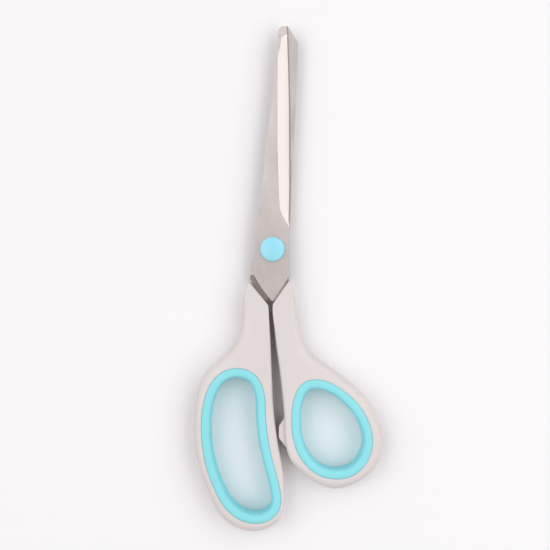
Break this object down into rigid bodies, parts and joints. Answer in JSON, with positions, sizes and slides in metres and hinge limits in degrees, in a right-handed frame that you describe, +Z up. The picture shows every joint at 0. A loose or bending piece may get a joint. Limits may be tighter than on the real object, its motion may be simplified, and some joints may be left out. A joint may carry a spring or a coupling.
{
  "type": "office scissors",
  "caption": "Right-handed office scissors with satin steel blades, a covered pivot, pale plastic handles and teal soft-lined thumb and finger loops.",
  "frame": {"origin": "under the middle of the closed pair's box, on the surface that the handles lie on", "axes": "+Y towards the blade tips, +X towards the thumb loop, +Z up out of the surface, along the pivot's axis"},
  "size_m": [0.0811, 0.2152, 0.012],
  "materials": {
    "blade_steel": "satin ground faces with a polished hollow-ground bevel",
    "handle_plastic": "fine satin moulded plastic, warm light grey",
    "grip_rubber": "soft matte thermoplastic rubber, teal",
    "cap_plastic": "smooth moulded plastic, light teal",
    "pivot_steel": "bright plated steel"
  },
  "bodies": {
    "finger_side": {"lower_blade": "blade_steel", "finger_handle": "handle_plastic", "finger_grip": "grip_rubber", "pivot_screw": "pivot_steel", "pivot_cap": "cap_plastic", "wave_washer": "pivot_steel", "pivot_nut": "pivot_steel"},
    "thumb_side": {"upper_blade": "blade_steel", "thumb_handle": "handle_plastic", "thumb_grip": "grip_rubber"}
  },
  "joints": [
    {"name": "blade_pivot", "type": "hinge", "parent": "finger_side", "child": "thumb_side", "pos_m": [-0.0068, 0.0124, 0.006], "axis": [0, 0, 1], "range_deg": [-0.4, 114]}
  ]
}
